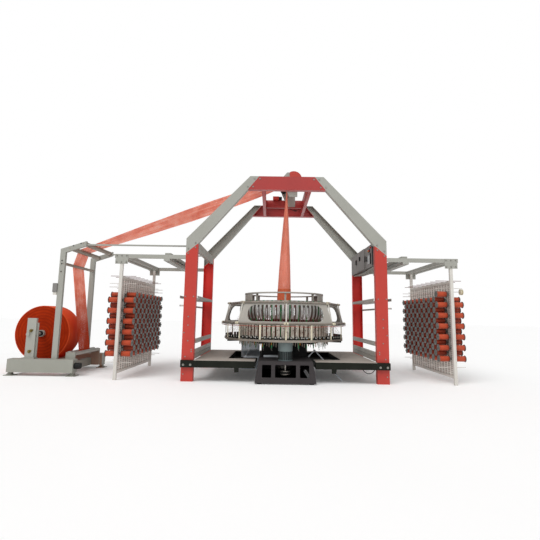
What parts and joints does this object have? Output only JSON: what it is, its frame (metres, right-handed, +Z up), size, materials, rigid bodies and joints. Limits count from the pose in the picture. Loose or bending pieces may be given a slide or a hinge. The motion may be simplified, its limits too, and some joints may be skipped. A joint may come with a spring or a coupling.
{
  "type": "circular mesh bag weaving machine",
  "caption": "Circular shuttle loom line that weaves a tubular mesh: gantry with overhead take-up, ring of healds and reed, yarn creels on both sides and a surface-fed fabric winder.",
  "frame": {"origin": "on the floor at the loom's vertical axis, under the centre column's foot plate", "axes": "+Z up, +X from the winder towards the right creel, +Y from the operator's front side to the back"},
  "size_m": [7.8793, 2.3316, 3.7649],
  "materials": {
    "red_paint": "satin",
    "grey_paint": "satin",
    "light_grey_paint": "satin",
    "steel": "brushed",
    "deck_paint": "matt",
    "charcoal_paint": "matt",
    "motor_paint": "satin",
    "black_iron": "matt",
    "black_plastic": "matt",
    "belt_rubber": "matt",
    "carrier_grey": "satin",
    "shuttle_grey": "satin",
    "white_plastic": "matt",
    "heald_green": "gloss",
    "mesh_orange": "woven",
    "yarn_orange": "wound",
    "spindle_grey": "satin",
    "cabinet_grey": "satin",
    "stop_red": "gloss"
  },
  "bodies": {
    "frame": {"front_posts": "red_paint", "back_posts": "red_paint", "front_arms": "grey_paint", "back_arms": "grey_paint", "top_beams": "red_paint", "takeup_rails": "red_paint", "knee_tie": "grey_paint", "yarn_guides": "steel", "deck_plates": "deck_paint", "deck_beams": "deck_paint", "loom_base": "charcoal_paint", "main_motor": "motor_paint", "drive_belt": "belt_rubber", "centre_column": "black_iron", "fabric_former": "steel", "bed_plate": "black_iron", "bed_columns": "black_iron", "ring_arms": "black_iron", "lower_warp_ring": "steel", "guide_blocks": "black_plastic", "ring_posts": "steel", "guide_shelf": "light_grey_paint", "guard_rails": "light_grey_paint", "rail_struts": "white_plastic", "guard_plates": "light_grey_paint", "reed_ring": "steel", "top_ring": "light_grey_paint", "takeup_plates": "grey_paint", "takeup_cover": "red_paint", "takeup_drive": "red_paint", "fabric_tube": "mesh_orange", "fabric_web": "mesh_orange", "creel_frames": "light_grey_paint", "creel_beams": "grey_paint", "spindles": "spindle_grey", "yarn_packages": "yarn_orange", "winder_base": "grey_paint", "winder_frame": "grey_paint", "roll_stands": "light_grey_paint", "winder_motor": "black_plastic", "winder_control_box": "cabinet_grey", "control_cabinet": "cabinet_grey"},
    "rotor": {"main_shaft": "steel", "shuttle_carrier": "carrier_grey", "shuttles": "shuttle_grey"},
    "motor_rotor": {"motor_pulley": "steel"},
    "heald_a": {"heald_set_a": "heald_green"},
    "heald_b": {"heald_set_b": "heald_green"},
    "roll": {"winding_shaft": "white_plastic", "fabric_roll": "mesh_orange"},
    "nip_a": {"nip_roller_a": "belt_rubber"},
    "nip_b": {"nip_roller_b": "belt_rubber"},
    "roller_a": {"winder_roller_a": "steel"},
    "roller_b": {"winder_roller_b": "steel"},
    "roller_c": {"winder_roller_c": "steel"},
    "feed": {"feed_roller": "steel"},
    "press": {"press_roller": "steel"},
    "door_back": {"cabinet_door_back": "cabinet_grey"},
    "door_mid": {"cabinet_door_mid": "cabinet_grey"},
    "button": {"stop_button": "stop_red"}
  },
  "joints": [
    {"name": "shuttle_drive", "type": "hinge", "parent": "frame", "child": "rotor", "pos_m": [0, 0, 0.96], "axis": [0, 0, 1], "continuous": true},
    {"name": "motor_spin", "type": "hinge", "parent": "frame", "child": "motor_rotor", "pos_m": [0, -0.9, 0.168], "axis": [0, 0, 1], "continuous": true},
    {"name": "heald_a_lift", "type": "slide", "parent": "frame", "child": "heald_a", "axis": [0, 0, 1], "range_m": [-0.03, 0.03]},
    {"name": "heald_b_lift", "type": "slide", "parent": "frame", "child": "heald_b", "axis": [0, 0, 1], "range_m": [-0.03, 0.03]},
    {"name": "roll_turn", "type": "hinge", "parent": "frame", "child": "roll", "pos_m": [-4.39, 0, 0.69], "axis": [0, 1, 0], "continuous": true},
    {"name": "nip_a_turn", "type": "hinge", "parent": "frame", "child": "nip_a", "pos_m": [-0.0224, 0, 3.6], "axis": [0, 1, 0], "continuous": true},
    {"name": "nip_b_turn", "type": "hinge", "parent": "frame", "child": "nip_b", "pos_m": [0.0924, 0, 3.6], "axis": [0, 1, 0], "continuous": true},
    {"name": "roller_a_turn", "type": "hinge", "parent": "frame", "child": "roller_a", "pos_m": [-3.58, 0, 2.29], "axis": [0, 1, 0], "continuous": true},
    {"name": "roller_b_turn", "type": "hinge", "parent": "frame", "child": "roller_b", "pos_m": [-3.81, 0, 2.2], "axis": [0, 1, 0], "continuous": true},
    {"name": "roller_c_turn", "type": "hinge", "parent": "frame", "child": "roller_c", "pos_m": [-3.905, 0, 1.925], "axis": [0, 1, 0], "continuous": true},
    {"name": "feed_turn", "type": "hinge", "parent": "frame", "child": "feed", "pos_m": [-3.74, 0, 0.36], "axis": [0, 1, 0], "continuous": true},
    {"name": "press_turn", "type": "hinge", "parent": "frame", "child": "press", "pos_m": [-3.6552, 0, 0.36], "axis": [0, 1, 0], "continuous": true},
    {"name": "door_back_swing", "type": "hinge", "parent": "frame", "child": "door_back", "pos_m": [1.4646, 0.7925, 2.135], "axis": [0, 0, -1], "range_deg": [0, 90]},
    {"name": "door_mid_swing", "type": "hinge", "parent": "frame", "child": "door_mid", "pos_m": [1.4646, 0.3152, 2.135], "axis": [0, 0, -1], "range_deg": [0, 90]},
    {"name": "stop_press", "type": "slide", "parent": "frame", "child": "button", "axis": [1, 0, 0], "range_m": [0, 0.006], "stiffness_N_per_m": 600}
  ],
  "couplings": [
    {"joint": "motor_spin", "follows": "shuttle_drive", "ratio": 3.5385},
    {"joint": "heald_b_lift", "follows": "heald_a_lift", "ratio": -1},
    {"joint": "feed_turn", "follows": "roll_turn", "ratio": 11.111},
    {"joint": "press_turn", "follows": "roll_turn", "ratio": -14.286},
    {"joint": "roller_a_turn", "follows": "roll_turn", "ratio": -12.5},
    {"joint": "roller_b_turn", "follows": "roll_turn", "ratio": -12.5},
    {"joint": "roller_c_turn", "follows": "roll_turn", "ratio": -20},
    {"joint": "nip_a_turn", "follows": "roll_turn", "ratio": -9.0909},
    {"joint": "nip_b_turn", "follows": "roll_turn", "ratio": 9.0909}
  ]
}
